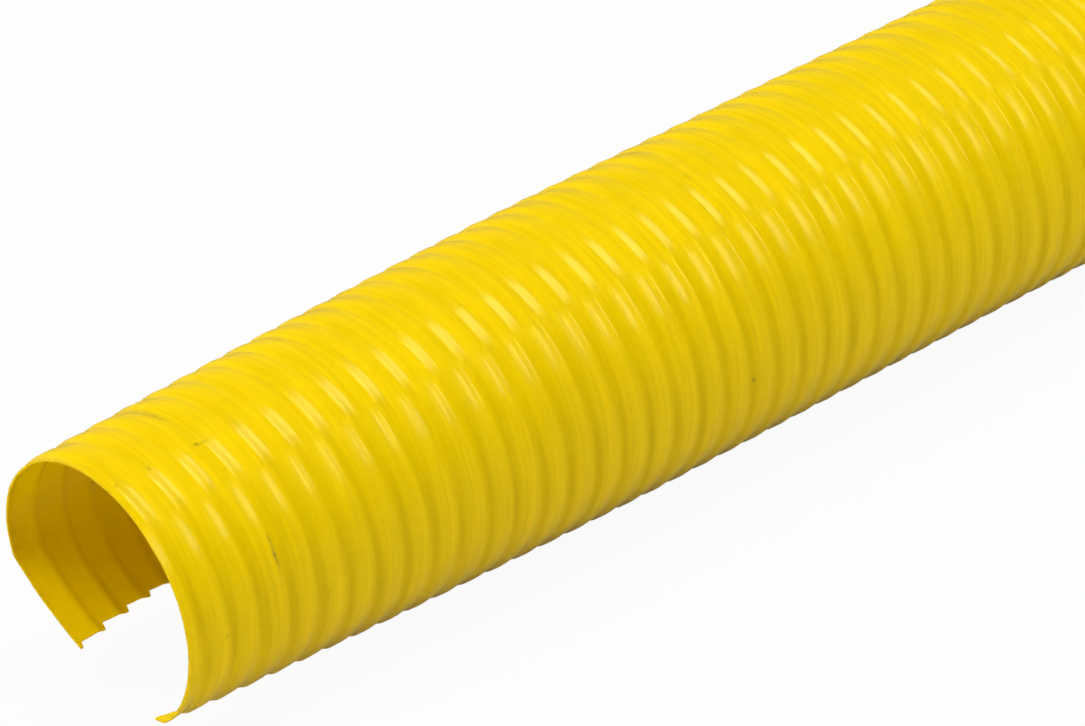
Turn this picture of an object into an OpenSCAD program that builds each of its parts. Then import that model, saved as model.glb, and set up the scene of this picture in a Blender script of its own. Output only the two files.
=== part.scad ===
// Corrugated cable trough: a thin round plastic channel with a waved wall, open along its underside.
// The wave of such stock winds round it as one spiral: here it is rings of the same pitch and depth.
// X runs along the trough, Z is up, and the origin is on the floor under the middle of the length.

/* [Stock] */
// Length of the piece as it is sold
stock_length = 2000; // [500:10:3000]
// Outside diameter over the wave crests, away from the ends
outer_d = 110; // [75:1:160]
// Thickness of the wall, along the radius
wall_t = 0.8; // [0.6:0.1:2]
// Angle of the open side, seen along the trough
opening_angle = 66; // [50:1:140]

/* [Waves] */
// Pitch that the waves aim at: the true pitch fits a whole number of waves
wave_pitch = 11.8; // [9:0.1:20]
// Depth of a wave from crest to valley
wave_depth = 0.9; // [0.3:0.1:3]
// How much the waves lean: 0 is an even wave, more makes the side towards the near end steeper
wave_lean = 32; // [0:1:40]
// Distance from each cut end to the first valley
first_valley = 3.2; // [2:0.1:8]

/* [Cut ends] */
// How far the wall draws in at a cut end
end_draw = 6.5; // [0:0.1:10]
// Length over which a cut end draws in
end_draw_length = 220; // [40:1:240]

/* [Hidden] */

// Power of the draw-in curve: 1 is a plain cone, 2 a soft bell
draw_power = 1.5;
// Finest step that the wall draws in by
draw_step = 0.01;
// Shortest step that the outline takes next to a cut end
end_step_min = 0.3;
// Straight steps that make up one wave
wave_steps = 6;
// Place in a wave, as an angle, where the lean changes sides
lean_phase = 45;

half_length = stock_length / 2;
wave_run = stock_length - 2 * first_valley;
wave_count = round(wave_run / wave_pitch);
true_pitch = wave_run / wave_count;

// Height of the trough's centre line above the floor that its two cut edges lie on
axis_height = outer_d / 2 * cos(opening_angle / 2);

// Place of x in the waves, as an angle that grows by a full turn for each wave
function wave_phase(x) = 360 * (x + half_length - first_valley) / true_pitch;

// Depth of the wall below the crests at x: a round wave that leans
function wave(x) =
    let (phase = wave_phase(x), leaned = phase + wave_lean * sin(phase - lean_phase))
    wave_depth * (1 + cos(leaned)) / 2;

// How far the wall is drawn in at x, in whole steps so that no ring of the wall has a hair's breadth of taper
function draw_in(x) =
    let (share = pow(max(0, 1 - (half_length - abs(x)) / end_draw_length), draw_power))
    draw_step * round(end_draw * share / draw_step);

// Outside and inside radius of the wall at x
function outer_r(x) = outer_d / 2 - draw_in(x) - wave(x);
function inner_r(x) = outer_r(x) - wall_t;

// Places along the length where the wall's outline has a corner, with one wave cut short at each end
corner_places = [
    for (k = [-1 : wave_count], step = [0 : wave_steps - 1])
        first_valley - half_length + (k + step / wave_steps) * true_pitch
];
stations = concat(
    [-half_length],
    [for (x = corner_places) if (abs(x) < half_length - end_step_min) x],
    [half_length]
);
last_station = len(stations) - 1;

// Outline of the wall beside the centre line, out along the outside and back along the inside
module wall_outline() {
    outside = [for (x = stations) [outer_r(x), x]];
    inside = [for (i = [last_station : -1 : 0]) [inner_r(stations[i]), stations[i]]];
    polygon(concat(outside, inside));
}

// The wall turned round the centre line, with its open side down
module trough() {
    color("gold")
        translate([0, 0, axis_height])
            rotate([0, 90, 0])
                rotate_extrude(angle = 360 - opening_angle, start = opening_angle / 2, $fn = 96)
                    wall_outline();
}

trough();
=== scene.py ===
"""Looks of a corrugated cable trough: its waved wall, plastic, floor, light and camera."""
import math
import random

import bmesh
import bpy
import numpy as np
from mathutils import Matrix, Vector


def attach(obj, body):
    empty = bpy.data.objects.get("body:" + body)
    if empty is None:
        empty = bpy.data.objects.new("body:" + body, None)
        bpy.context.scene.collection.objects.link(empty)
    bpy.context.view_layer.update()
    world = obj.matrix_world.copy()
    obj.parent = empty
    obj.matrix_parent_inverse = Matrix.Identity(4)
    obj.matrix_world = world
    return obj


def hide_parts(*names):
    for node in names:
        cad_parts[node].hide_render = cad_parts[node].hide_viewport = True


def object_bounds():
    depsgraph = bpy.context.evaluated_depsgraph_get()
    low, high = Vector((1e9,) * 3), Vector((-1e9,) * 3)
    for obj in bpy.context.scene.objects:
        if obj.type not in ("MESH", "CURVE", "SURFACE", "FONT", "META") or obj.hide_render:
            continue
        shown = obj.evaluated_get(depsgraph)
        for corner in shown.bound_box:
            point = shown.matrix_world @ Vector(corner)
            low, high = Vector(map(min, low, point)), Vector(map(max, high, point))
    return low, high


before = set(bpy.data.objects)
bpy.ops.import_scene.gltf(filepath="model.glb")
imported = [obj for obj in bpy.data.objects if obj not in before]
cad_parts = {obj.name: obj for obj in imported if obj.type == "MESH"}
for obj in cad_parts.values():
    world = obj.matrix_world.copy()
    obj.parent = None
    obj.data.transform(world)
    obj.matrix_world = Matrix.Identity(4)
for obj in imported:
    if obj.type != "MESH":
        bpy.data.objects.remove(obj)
cad_low, cad_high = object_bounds()

MM = 0.001

# Sizes of the stock, the same as those of the solid
OUTER_RADIUS = 55.0 * MM
WALL = 0.8 * MM
OPENING_ANGLE = math.radians(66.0)
WAVE_COUNT = 169
WAVE_DEPTH = 0.9 * MM
WAVE_LEAN = math.radians(32.0)
LEAN_PHASE = math.radians(45.0)
FIRST_VALLEY = 3.2 * MM
END_DRAW = 6.5 * MM
END_DRAW_LENGTH = 220.0 * MM
DRAW_POWER = 1.5

NEAR_X = cad_low.x
FAR_X = cad_high.x
PITCH = (FAR_X - NEAR_X - 2 * FIRST_VALLEY) / WAVE_COUNT
AXIS_HEIGHT = OUTER_RADIUS * math.cos(OPENING_ANGLE / 2)
# A turn is an angle round the trough from its top: positive towards +Y, negative towards -Y
EDGE_TURN = math.pi - OPENING_ANGLE / 2

# The wave winds round the trough as one spiral.
# At this turn its first valley is FIRST_VALLEY from the end
SPIRAL_START = math.radians(-46.0)

# Shares by which the waves differ in depth along the trough, and are deeper at the near end
DEPTH_WANDER = 0.06
DEPTH_WANDER_SPACING = 5 * PITCH
DEPTH_SEED = 11
NEAR_DEEPER = 0.1

# The near end is a little oval, wider and lower than round by this share, and lies towards +Y and down
OVAL = 0.0169
SWAY = 0.75 * MM
SINK = 0.5 * MM

# The near corner on the +Y side, bent in by handling: a soft bend, then a kink, then a flatter flange
EASE_START = math.radians(46.2)
EASE_TURN = math.radians(9.7)
KINK_AT = math.radians(95.1)
KINK_WIDTH = math.radians(5.9)
KINK_WIDENING = math.radians(1.4) / MM
KINK_TURN = math.radians(29.6)
FLANGE_FLATTEN = 0.627
# The bend fades along the trough, and ends at CURL_LENGTH
CURL_FADE = 65.0 * MM
CURL_LENGTH = 220.0 * MM
CURL_END_STEEPNESS = 1.5

# The tip of the other near corner, which hooks in a little
HOOK_START = math.radians(-139.0)
HOOK_END = math.radians(-144.0)
HOOK_TURN = math.radians(28.5)
HOOK_FADE = 8.5 * MM

# The long cut edges near the end, where they lie higher up the wall, and the stretch over which
# they come down to the stock's edge
LEFT_RIM_TURN = math.radians(145.7)
LEFT_TIP_TURN = math.radians(143.0)
LEFT_RISE = math.radians(14.3)
LEFT_RISE_FADE = 30.0 * MM
LEFT_DOWN_START = 90.0 * MM
LEFT_DOWN_LENGTH = 160.0 * MM
RIGHT_RIM_TURN = math.radians(-143.2)
RIGHT_TIP = math.radians(4.7)
RIGHT_TIP_FADE = 8.5 * MM
RIGHT_DOWN_START = 45.0 * MM
RIGHT_DOWN_LENGTH = 50.0 * MM

# The long edges were cut in steps: each step back follows a valley, and the steps are large near the end
TOOTH_SHIFT = 5.1 * MM
TOOTH_NEAR = 4.5 * MM
TOOTH_FAR = 0.4 * MM
TOOTH_FADE = 55.0 * MM

# Rough cuts: how far the long edges and the two ends wander, how far apart their bumps are, and their seeds
EDGE_WANDER = 0.35 * MM
LEFT_EDGE_SPACING = 27.0 * MM
LEFT_EDGE_SEED = 4
RIGHT_EDGE_SPACING = 31.0 * MM
RIGHT_EDGE_SEED = 3
END_WANDER = 0.3 * MM
END_SPACING_TURN = 0.7
NEAR_END_SEED = 7
FAR_END_SEED = 8

# A wandering line is a sum of sines of these stretches, divided so that it stays about within -1 to 1
WANDER_STRETCHES = (0.45, 0.8, 1.3, 2.1)
WANDER_DIVISOR = 3.0

# Fineness of the mesh: the near part is shown large, and the rest is coarser
FINE_WAVES = 38
FINE_STEPS = 12
COARSE_STEPS = 6
FINE_RING = 52
COARSE_RING = 26
LEAST_STEP = 0.3 * MM
KINK_CROWDING = 3.5
KINK_CROWDING_WIDTH = math.radians(6.0)
CROWDING_STEPS = 2001
PATH_STEPS = 1441
SHARP_ANGLE = math.radians(60.0)


def smooth(share):
    """Smooth step from 0 to 1 as share goes from 0 to 1."""
    share = np.clip(share, 0.0, 1.0)
    return share * share * (3.0 - 2.0 * share)


def wander(places, spacing, seed):
    """Smooth seeded wandering of about -1 to 1 along places, with bumps about spacing apart."""
    draw = random.Random(seed)
    total = np.zeros_like(places)
    for stretch in WANDER_STRETCHES:
        phase = draw.uniform(0.0, math.tau)
        total += np.sin(math.tau * places / (spacing * stretch) + phase)
    return total / WANDER_DIVISOR


def drawn_radius(x):
    """Radius over the crests at x, drawn in towards both ends."""
    from_end = np.minimum(x - NEAR_X, FAR_X - x)
    share = np.clip(1.0 - from_end / END_DRAW_LENGTH, 0.0, 1.0)
    return OUTER_RADIUS - END_DRAW * share**DRAW_POWER


def waves_along(x, turns):
    """Count of waves from the first valley to x at the given turns, along the spiral."""
    return (x - NEAR_X - FIRST_VALLEY) / PITCH + (turns - SPIRAL_START) / math.tau


def wave_drop(x, turns):
    """How far the wall lies below the crests: a wave with its steep side towards the near end."""
    phase = math.tau * waves_along(x, turns)
    phase = phase + WAVE_LEAN * np.sin(phase - LEAN_PHASE)
    depth = WAVE_DEPTH * (1.0 + NEAR_DEEPER * math.exp(-(x - NEAR_X) / CURL_FADE))
    unevenness = (1.0 + wander(x + PITCH * turns, DEPTH_WANDER_SPACING, DEPTH_SEED)) / 2
    depth = depth * (1.0 - DEPTH_WANDER * unevenness)
    return depth * (1.0 + np.cos(phase)) / 2


def bend(distance, turn):
    """How much further than a plain circle the wall has turned in, at a distance from the near end."""
    end = smooth(CURL_END_STEEPNESS * (1.0 - distance / CURL_LENGTH))
    fade = np.exp(-distance / CURL_FADE) * end
    width = KINK_WIDTH + KINK_WIDENING * distance
    ease = smooth((turn - EASE_START) / (KINK_AT - EASE_START))
    kink = smooth((turn - KINK_AT) / width + 0.5)
    flange = np.maximum(0.0, turn - KINK_AT - width / 2)
    curl = fade * (EASE_TURN * ease + KINK_TURN * kink - FLANGE_FLATTEN * flange)
    hook = np.exp(-((distance / HOOK_FADE) ** 2)) * smooth((turn - HOOK_START) / (HOOK_END - HOOK_START))
    return curl - HOOK_TURN * hook


def section_path(x, turns):
    """Points and outward normals, in Y and Z, of the wall's outer crest line at x for the given turns."""
    radius = drawn_radius(x)
    fine = np.linspace(-math.pi, math.pi, PATH_STEPS)
    extra = bend(x - NEAR_X, fine)
    step = fine[1] - fine[0]
    # The bent wall keeps its length, so the shift from the circle is summed along the wall from its top
    shift_y = np.cumsum(np.cos(fine + extra) - np.cos(fine)) * step * radius
    shift_z = np.cumsum(np.sin(fine) - np.sin(fine + extra)) * step * radius
    shift_y -= np.interp(0.0, fine, shift_y)
    shift_z -= np.interp(0.0, fine, shift_z)
    fade = math.exp(-(x - NEAR_X) / CURL_FADE)
    y = radius * (1.0 + OVAL * fade) * np.sin(turns) + SWAY * fade + np.interp(turns, fine, shift_y)
    z = radius * (1.0 - OVAL * fade) * np.cos(turns) - SINK * fade + np.interp(turns, fine, shift_z)
    facing = turns + np.interp(turns, fine, extra)
    return y, z + AXIS_HEIGHT, np.sin(facing), np.cos(facing)


def ring_shares(count):
    """Places round the section from 0 to 1, closer together at the kink."""
    turns = np.linspace(-EDGE_TURN, EDGE_TURN, CROWDING_STEPS)
    kink = (turns - KINK_AT) / KINK_CROWDING_WIDTH
    crowding = np.cumsum(1.0 + KINK_CROWDING * np.exp(-(kink**2)))
    crowding = (crowding - crowding[0]) / (crowding[-1] - crowding[0])
    return np.interp(np.linspace(0.0, 1.0, count + 1), crowding, np.linspace(0.0, 1.0, len(turns)))


def edge_turns(x):
    """Turns of the two long cut edges at x: rough snipped cuts, higher up the wall behind the near end."""
    distance = x - NEAR_X
    place = np.array([x])
    left = LEFT_RIM_TURN - LEFT_RISE * (1.0 - math.exp(-distance / LEFT_RISE_FADE))
    left += (EDGE_TURN - left) * smooth((distance - LEFT_DOWN_START) / LEFT_DOWN_LENGTH)
    right_down = smooth((distance - RIGHT_DOWN_START) / RIGHT_DOWN_LENGTH)
    right = RIGHT_RIM_TURN - (EDGE_TURN + RIGHT_RIM_TURN) * right_down
    right -= RIGHT_TIP * math.exp(-((distance / RIGHT_TIP_FADE) ** 2))
    tooth = TOOTH_FAR + (TOOTH_NEAR - TOOTH_FAR) * math.exp(-distance / TOOTH_FADE)
    left -= tooth * (1.0 - waves_along(x - TOOTH_SHIFT, left) % 1.0) / OUTER_RADIUS
    right += TOOTH_FAR * (1.0 - waves_along(x, right) % 1.0) / OUTER_RADIUS
    rough = EDGE_WANDER / OUTER_RADIUS / 2
    left -= rough * (1.0 + wander(place, LEFT_EDGE_SPACING, LEFT_EDGE_SEED)[0])
    left = min(left, LEFT_TIP_TURN)
    right += rough * (1.0 + wander(place, RIGHT_EDGE_SPACING, RIGHT_EDGE_SEED)[0])
    return right, left


def stations():
    """Places along the trough of the fine rings and of the coarse rings."""
    first = NEAR_X + FIRST_VALLEY
    fine = [first + step * PITCH / FINE_STEPS for step in range(-FINE_STEPS, FINE_WAVES * FINE_STEPS + 1)]
    coarse_count = (WAVE_COUNT - FINE_WAVES + 1) * COARSE_STEPS
    start = first + FINE_WAVES * PITCH
    coarse = [start + step * PITCH / COARSE_STEPS for step in range(1, coarse_count + 1)]
    fine = [NEAR_X] + [x for x in fine if x > NEAR_X + LEAST_STEP]
    coarse = [x for x in coarse if x < FAR_X - LEAST_STEP] + [FAR_X]
    return fine, coarse


def ring_points(x, count):
    """Outer and inner points of the wall's ring at x."""
    right, left = edge_turns(x)
    turns = right + (left - right) * ring_shares(count)
    y, z, out_y, out_z = section_path(x, turns)
    drop = wave_drop(x, turns)
    along = np.full_like(turns, x)
    if x == NEAR_X:
        along += END_WANDER * (1.0 + wander(turns, END_SPACING_TURN, NEAR_END_SEED)) / 2
    if x == FAR_X:
        along -= END_WANDER * (1.0 + wander(turns, END_SPACING_TURN, FAR_END_SEED)) / 2
    outer = np.stack([along, y - drop * out_y, z - drop * out_z], axis=1)
    inner = outer - WALL * np.stack([np.zeros_like(turns), out_y, out_z], axis=1)
    return outer, inner


def strip_faces(ring_a, ring_b):
    """Faces between two rings of point numbers: quads, or triangles where ring_b has half as many."""
    if len(ring_a) == len(ring_b):
        return [(ring_a[i], ring_a[i + 1], ring_b[i + 1], ring_b[i]) for i in range(len(ring_a) - 1)]
    faces = []
    for i in range(len(ring_b) - 1):
        a0, a1, a2 = ring_a[2 * i : 2 * i + 3]
        b0, b1 = ring_b[i : i + 2]
        faces += [(a0, a1, b0), (a1, b1, b0), (a1, a2, b1)]
    return faces


def wall_faces(outer_rings, inner_rings):
    """Faces of the closed wall: its outside and inside, its two long edges and its two ends."""
    faces = []
    for i in range(len(outer_rings) - 1):
        faces += strip_faces(outer_rings[i], outer_rings[i + 1])
        faces += strip_faces(inner_rings[i], inner_rings[i + 1])
        for side in (0, -1):
            edge = (outer_rings[i], outer_rings[i + 1], inner_rings[i + 1], inner_rings[i])
            faces.append(tuple(ring[side] for ring in edge))
    for end in (0, -1):
        faces += strip_faces(outer_rings[end], inner_rings[end])
    return faces


def make_trough():
    """The whole wall as one closed mesh."""
    fine, coarse = stations()
    points = []
    outer_rings = []
    inner_rings = []
    for x, count in [(x, FINE_RING) for x in fine] + [(x, COARSE_RING) for x in coarse]:
        outer, inner = ring_points(x, count)
        outer_rings.append(range(len(points), len(points) + len(outer)))
        points.extend(outer.tolist())
        inner_rings.append(range(len(points), len(points) + len(inner)))
        points.extend(inner.tolist())
    mesh = bpy.data.meshes.new("trough_wall")
    mesh.from_pydata(points, [], wall_faces(outer_rings, inner_rings))
    shell = bmesh.new()
    shell.from_mesh(mesh)
    bmesh.ops.recalc_face_normals(shell, faces=shell.faces)
    shell.to_mesh(mesh)
    shell.free()
    mesh.shade_smooth()
    mesh.set_sharp_from_angle(angle=SHARP_ANGLE)
    trough = bpy.data.objects.new("trough_wall", mesh)
    bpy.context.scene.collection.objects.link(trough)
    return trough


class Nodes:
    """Short ways to add and join shader nodes in one tree."""

    def __init__(self, tree):
        self.tree = tree

    def add(self, kind, **settings):
        """A new node with its settings."""
        node = self.tree.nodes.new(kind)
        for name, value in settings.items():
            setattr(node, name, value)
        return node

    def put(self, socket, value):
        """Joins another node's output to a socket, or sets a plain value on it."""
        if isinstance(value, bpy.types.NodeSocket):
            self.tree.links.new(value, socket)
        else:
            socket.default_value = value

    def math(self, operation, *values):
        """Result of a sum or the like."""
        node = self.add("ShaderNodeMath", operation=operation)
        for socket, value in zip(node.inputs, values):
            self.put(socket, value)
        return node.outputs[0]

    def noise(self, vector, scale, detail):
        """Soft noise of 0 to 1, mostly near 0.5."""
        node = self.add("ShaderNodeTexNoise")
        self.put(node.inputs["Vector"], vector)
        self.put(node.inputs["Scale"], scale)
        self.put(node.inputs["Detail"], detail)
        return node.outputs[0]

    def spread(self, value, low, high, to_low, to_high):
        """The value's range from low to high, spread from to_low to to_high and held beyond."""
        node = self.add("ShaderNodeMapRange")
        for socket, number in zip(node.inputs, (value, low, high, to_low, to_high)):
            self.put(socket, number)
        return node.outputs[0]

    def mix(self, share, first, second):
        """The first colour with a share of the second."""
        node = self.add("ShaderNodeMix", data_type="RGBA")
        self.put(node.inputs["Factor"], share)
        self.put(node.inputs["A"], first)
        self.put(node.inputs["B"], second)
        return node.outputs["Result"]


WHITE = (1.0, 1.0, 1.0, 1.0)
YELLOW = (0.95, 0.665, 0.0, 1.0)
YELLOW_DEEP = (0.93, 0.63, 0.0, 1.0)
# Painted light: a lighter, less orange yellow for the inside of the wall, standing in for the light that the
# inside lacks
INSIDE_PAINTED_LIGHT_YELLOW = (0.99, 0.715, 0.0, 1.0)
# Painted shade: a darker yellow put in the valleys and along the fine ring ridges, standing in for their
# shading
PAINTED_SHADE_TONE = (0.80, 0.555, 0.0, 1.0)
DIRT = (0.24, 0.18, 0.02, 1.0)
HIGHLIGHT_TINT = (1.0, 0.95, 0.35, 1.0)

# Slow change of tone over the plastic: noise per metre, the noise values that it uses, and its share
TONE_SCALE = 14.0
TONE_RANGE = (0.3, 0.7)
TONE_SHARE = 0.6

# Fine ridges that run round the rings, as bumps and as painted shade, and wider bands of that painted shade:
# noise per metre along and per radian round
STREAKS_ALONG = 600.0
STREAKS_ROUND = 1.3
STREAK_SHADE_RANGE = (0.42, 0.68)
STREAK_SHADE_SHARE = 0.6
STREAK_HEIGHT = 0.040 * MM
BAND_SCALE = 0.4
BAND_SHADE_RANGE = (0.4, 0.65)
BAND_SHADE_SHARE = 0.3

# Painted shade in the valleys: its share in the middle of a valley, and how far up to the crest it reaches
VALLEY_SHADE_SHARE = 0.12
VALLEY_SHADE_REACH = 0.34

# Dirt marks: distance from the near end in mm and turn in degrees of the middle, reach along and round in mm,
# and strength
MARKS = [
    (3.9, -17.0, 0.5, 0.9, 0.5),
    (16.7, -17.5, 0.5, 0.9, 0.5),
    (35.6, 16.0, 1.7, 9.0, 0.6),
    (36.4, 7.0, 0.8, 6.0, 0.4),
    (36.0, -18.1, 1.0, 0.8, 0.75),
    (38.6, -18.3, 1.2, 0.6, 0.45),
    (39.3, -66.0, 0.45, 4.0, 0.55),
    (39.2, -71.0, 0.7, 2.2, 0.75),
    (39.5, -75.0, 0.5, 2.6, 0.55),
    (16.1, -94.3, 0.9, 0.9, 0.5),
    (243.0, -95.0, 0.8, 0.8, 0.5),
    (256.0, -12.0, 1.0, 2.0, 0.3),
]
# Noise that makes the marks ragged: its scale, the noise values that it uses, and the least share of dirt
RAGGED_SCALE = 600.0
RAGGED_RANGE = (0.35, 0.65)
RAGGED_LEAST = 0.3

# Gloss, which varies a little, and a fine unevenness like orange peel
GLOSS_SCALE = 45.0
GLOSS_RANGE = (0.3, 0.7)
ROUGHNESS_RANGE = (0.19, 0.26)
PLASTIC_IOR = 1.5
HIGHLIGHT_LEVEL = 0.38
PEEL_SCALE = 700.0
PEEL_HEIGHT = 0.004 * MM

# Light that passes into the thin plastic and comes out again
GLOW_SHARE = 0.7
GLOW_RADIUS = (1.0, 0.85, 0.2)
GLOW_DEPTH = 1.3 * MM


def outside_share(nodes, y, height_over_axis):
    """1 on the outside of the wall and 0 on its inside."""
    normal = nodes.add("ShaderNodeSeparateXYZ")
    nodes.put(normal.inputs[0], nodes.add("ShaderNodeNewGeometry").outputs["True Normal"])
    outward_y = nodes.math("MULTIPLY", normal.outputs["Y"], y)
    outward_z = nodes.math("MULTIPLY", normal.outputs["Z"], height_over_axis)
    return nodes.math("GREATER_THAN", nodes.math("ADD", outward_y, outward_z), 0.0)


def valley_shade_share(nodes, along, turn):
    """Share of the painted valley shade: most in the middle of a valley, none on the crests."""
    waves = nodes.math("DIVIDE", nodes.math("SUBTRACT", along, FIRST_VALLEY), PITCH)
    winding = nodes.math("DIVIDE", nodes.math("SUBTRACT", turn, SPIRAL_START), math.tau)
    within = nodes.math("FRACT", nodes.math("ADD", waves, winding))
    rise = nodes.math("PINGPONG", nodes.math("MULTIPLY", within, 2.0), 1.0)
    return nodes.spread(rise, 0.0, VALLEY_SHADE_REACH, VALLEY_SHADE_SHARE, 0.0)


def mark_shade(nodes, along, turn, mark):
    """Shade of one dirt mark: a soft spot."""
    distance, degrees, reach_along, reach_round, strength = mark
    off_along = nodes.math("DIVIDE", nodes.math("SUBTRACT", along, distance * MM), reach_along * MM)
    off_round = nodes.math("SUBTRACT", turn, math.radians(degrees))
    off_round = nodes.math("DIVIDE", off_round, reach_round * MM / OUTER_RADIUS)
    square = nodes.math("ADD", nodes.math("POWER", off_along, 2.0), nodes.math("POWER", off_round, 2.0))
    spot = nodes.math("EXPONENT", nodes.math("MULTIPLY", square, -1.0))
    return nodes.math("MULTIPLY", spot, strength)


def dirt_share(nodes, place, along, turn):
    """Share of dirt from all the marks, with ragged outlines."""
    dirt = 0.0
    for mark in MARKS:
        dirt = nodes.math("ADD", dirt, mark_shade(nodes, along, turn, mark))
    grain = nodes.noise(place, RAGGED_SCALE, 1.0)
    ragged = nodes.spread(grain, *RAGGED_RANGE, RAGGED_LEAST, 1.0)
    return nodes.math("MULTIPLY", dirt, ragged)


def make_plastic():
    """Glossy yellow plastic with fine ring ridges from the corrugator as bumps, painted shade along them and
    in the valleys, a lighter painted inside, and a few dirt marks.
    """
    material = bpy.data.materials.new("yellow_plastic")
    material.use_nodes = True
    tree = material.node_tree
    tree.nodes.clear()
    nodes = Nodes(tree)
    output = nodes.add("ShaderNodeOutputMaterial")
    plastic = nodes.add("ShaderNodeBsdfPrincipled", subsurface_method="BURLEY")
    nodes.put(output.inputs["Surface"], plastic.outputs[0])
    place = nodes.add("ShaderNodeTexCoord").outputs["Object"]
    parts = nodes.add("ShaderNodeSeparateXYZ")
    nodes.put(parts.inputs[0], place)
    along = nodes.math("SUBTRACT", parts.outputs["X"], NEAR_X)
    height_over_axis = nodes.math("SUBTRACT", parts.outputs["Z"], AXIS_HEIGHT)
    turn = nodes.math("ARCTAN2", parts.outputs["Y"], height_over_axis)
    outside = outside_share(nodes, parts.outputs["Y"], height_over_axis)

    ring_place = nodes.add("ShaderNodeCombineXYZ")
    nodes.put(ring_place.inputs["X"], nodes.math("MULTIPLY", along, STREAKS_ALONG))
    nodes.put(ring_place.inputs["Y"], nodes.math("MULTIPLY", turn, STREAKS_ROUND))
    streaks = nodes.noise(ring_place.outputs[0], 1.0, 1.0)
    bands = nodes.noise(ring_place.outputs[0], BAND_SCALE, 0.0)

    tone = nodes.noise(place, TONE_SCALE, 1.0)
    colour = nodes.mix(nodes.spread(tone, *TONE_RANGE, 0.0, TONE_SHARE), YELLOW, YELLOW_DEEP)
    # Painted shade along the fine ring ridges on the outside, and in wider bands
    streak_shade_share = nodes.math("MULTIPLY", nodes.spread(streaks, *STREAK_SHADE_RANGE, 0.0, STREAK_SHADE_SHARE), outside)
    colour = nodes.mix(streak_shade_share, colour, PAINTED_SHADE_TONE)
    colour = nodes.mix(nodes.spread(bands, *BAND_SHADE_RANGE, 0.0, BAND_SHADE_SHARE), colour, PAINTED_SHADE_TONE)
    # Painted shade in the valleys
    colour = nodes.mix(valley_shade_share(nodes, along, turn), colour, PAINTED_SHADE_TONE)
    # Painted light on the inside of the wall
    colour = nodes.mix(outside, INSIDE_PAINTED_LIGHT_YELLOW, colour)
    colour = nodes.mix(dirt_share(nodes, place, along, turn), colour, DIRT)
    nodes.put(plastic.inputs["Base Color"], colour)

    gloss = nodes.noise(place, GLOSS_SCALE, 1.0)
    nodes.put(plastic.inputs["Roughness"], nodes.spread(gloss, *GLOSS_RANGE, *ROUGHNESS_RANGE))
    nodes.put(plastic.inputs["IOR"], PLASTIC_IOR)
    nodes.put(plastic.inputs["Specular IOR Level"], HIGHLIGHT_LEVEL)
    nodes.put(plastic.inputs["Specular Tint"], HIGHLIGHT_TINT)
    nodes.put(plastic.inputs["Subsurface Weight"], GLOW_SHARE)
    nodes.put(plastic.inputs["Subsurface Radius"], GLOW_RADIUS)
    nodes.put(plastic.inputs["Subsurface Scale"], GLOW_DEPTH)

    peel = nodes.noise(place, PEEL_SCALE, 0.0)
    height = nodes.math("MULTIPLY", streaks, STREAK_HEIGHT)
    height = nodes.math("ADD", height, nodes.math("MULTIPLY", peel, PEEL_HEIGHT))
    relief = nodes.add("ShaderNodeBump")
    nodes.put(relief.inputs["Strength"], 1.0)
    nodes.put(relief.inputs["Distance"], 1.0)
    nodes.put(relief.inputs["Height"], height)
    nodes.put(plastic.inputs["Normal"], relief.outputs[0])
    return material


FLOOR_SIZE = 120.0
FLOOR_PAINT = (0.70, 0.70, 0.70, 1.0)
# Share of plain white that the camera sees in the floor, and how bright that white is in reflections
FLOOR_WHITE_SHARE = 0.94
FLOOR_WHITE_IN_GLOSS = 0.12


def make_floor():
    """A plain white floor that keeps a faint shadow of the trough."""
    mesh = bpy.data.meshes.new("floor")
    half = FLOOR_SIZE / 2
    corners = [(-half, -half, 0), (half, -half, 0), (half, half, 0), (-half, half, 0)]
    mesh.from_pydata(corners, [], [(0, 1, 2, 3)])
    floor = bpy.data.objects.new("floor", mesh)
    bpy.context.scene.collection.objects.link(floor)
    material = bpy.data.materials.new("floor_white")
    material.use_nodes = True
    tree = material.node_tree
    tree.nodes.clear()
    nodes = Nodes(tree)
    output = nodes.add("ShaderNodeOutputMaterial")
    paint = nodes.add("ShaderNodeBsdfDiffuse")
    nodes.put(paint.inputs["Color"], FLOOR_PAINT)
    white = nodes.add("ShaderNodeEmission")
    nodes.put(white.inputs["Color"], WHITE)
    rays = nodes.add("ShaderNodeLightPath")
    strength = nodes.spread(rays.outputs["Is Camera Ray"], 0.0, 1.0, FLOOR_WHITE_IN_GLOSS, 1.0)
    nodes.put(white.inputs["Strength"], strength)
    seen = nodes.math("MAXIMUM", rays.outputs["Is Camera Ray"], rays.outputs["Is Glossy Ray"])
    blend = nodes.add("ShaderNodeMixShader")
    nodes.put(blend.inputs[0], nodes.math("MULTIPLY", seen, FLOOR_WHITE_SHARE))
    nodes.put(blend.inputs[1], paint.outputs[0])
    nodes.put(blend.inputs[2], white.outputs[0])
    nodes.put(output.inputs["Surface"], blend.outputs[0])
    mesh.materials.append(material)
    return floor


# Soft lamps that aim at the near part of the trough: direction, way its width runs, width, depth, power, and
# whether it shows as a highlight
LAMP_AIM_FROM_END = 0.25
LAMP_AIM = Vector((NEAR_X + LAMP_AIM_FROM_END, 0.0, AXIS_HEIGHT))
LAMP_DISTANCE = 5.0
LAMPS = [
    ("far_fill", (0.80, -0.58, 0.13), (0.57, 0.82, 0.0), 3.0, 2.0, 118.0, False),
    ("near_fill", (-0.47, 0.28, 0.84), (0.0, 1.0, 0.0), 4.0, 4.0, 176.0, False),
    ("back_fill", (0.10, 0.99, 0.06), (1.0, 0.0, 0.0), 3.0, 0.5, 165.0, False),
    ("strip_top", (0.07, -0.10, 0.99), (0.0, 1.0, 0.0), 2.4, 2.0, 98.0, True),
    ("strip_far", (0.68, -0.47, 0.55), (0.0, 0.75, 0.66), 2.05, 0.3, 24.0, True),
]
# Level of the surrounding as light. The camera sees it as white
WORLD_LEVEL = 0.10


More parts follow.
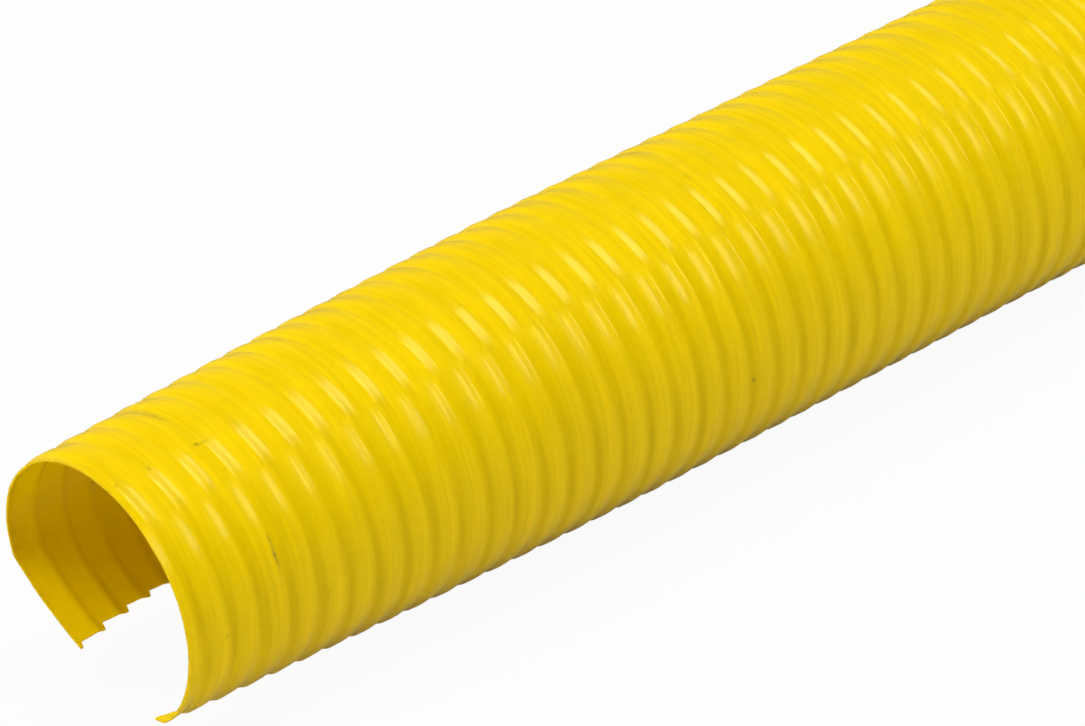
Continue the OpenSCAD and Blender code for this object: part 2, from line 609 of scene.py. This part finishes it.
def make_lamp(name, direction, width_way, width, depth, power, shows):
    """One soft lamp that the camera doesn't see."""
    lamp = bpy.data.lights.new(name, "AREA")
    lamp.shape = "RECTANGLE"
    lamp.size = width
    lamp.size_y = depth
    lamp.energy = power
    holder = bpy.data.objects.new(name, lamp)
    away = Vector(direction).normalized()
    across = away.cross(Vector(width_way)).normalized()
    turned = Matrix((across.cross(away), across, away)).transposed()
    holder.matrix_world = Matrix.Translation(LAMP_AIM + away * LAMP_DISTANCE) @ turned.to_4x4()
    holder.visible_camera = False
    holder.visible_glossy = shows
    bpy.context.scene.collection.objects.link(holder)


def make_light():
    """The soft lamps, and a dim even surrounding that the camera sees as white."""
    for lamp in LAMPS:
        make_lamp(*lamp)
    world = bpy.data.worlds.new("studio")
    world.use_nodes = True
    tree = world.node_tree
    tree.nodes.clear()
    nodes = Nodes(tree)
    output = nodes.add("ShaderNodeOutputWorld")
    surround = nodes.add("ShaderNodeBackground")
    rays = nodes.add("ShaderNodeLightPath")
    strength = nodes.spread(rays.outputs["Is Camera Ray"], 0.0, 1.0, WORLD_LEVEL, 1.0)
    nodes.put(surround.inputs["Color"], WHITE)
    nodes.put(surround.inputs["Strength"], strength)
    nodes.put(output.inputs["Surface"], surround.outputs[0])
    bpy.context.scene.world = world


# The photograph's viewpoint in metres, from the middle of the near end, and its long lens
CAMERA_FROM_NEAR_END = Vector((-0.9632, -1.4148, 1.0475))
CAMERA_AZIMUTH = math.radians(-39.307)
CAMERA_ELEVATION = math.radians(29.765)
CAMERA_ROLL = math.radians(-4.599)
CAMERA_LENS = 203.94
CAMERA_SENSOR = 36.0
CAMERA_CLIP_START = 0.05
CAMERA_CLIP_END = 300.0


def make_camera():
    """The camera at the photograph's viewing angle."""
    lens = bpy.data.cameras.new("camera")
    lens.sensor_fit = "HORIZONTAL"
    lens.sensor_width = CAMERA_SENSOR
    lens.lens = CAMERA_LENS
    lens.clip_start = CAMERA_CLIP_START
    lens.clip_end = CAMERA_CLIP_END
    camera = bpy.data.objects.new("camera", lens)
    facing = (
        Matrix.Rotation(CAMERA_AZIMUTH, 4, "Z")
        @ Matrix.Rotation(math.pi / 2 - CAMERA_ELEVATION, 4, "X")
        @ Matrix.Rotation(CAMERA_ROLL, 4, "Z")
    )
    near_end = Vector((NEAR_X, 0.0, AXIS_HEIGHT))
    camera.matrix_world = Matrix.Translation(near_end + CAMERA_FROM_NEAR_END) @ facing
    bpy.context.scene.collection.objects.link(camera)
    bpy.context.scene.camera = camera


trough = make_trough()
trough.data.materials.append(make_plastic())
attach(trough, "root")
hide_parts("trough")
make_floor()
make_light()
make_camera()
bpy.context.scene.view_settings.view_transform = "Standard"
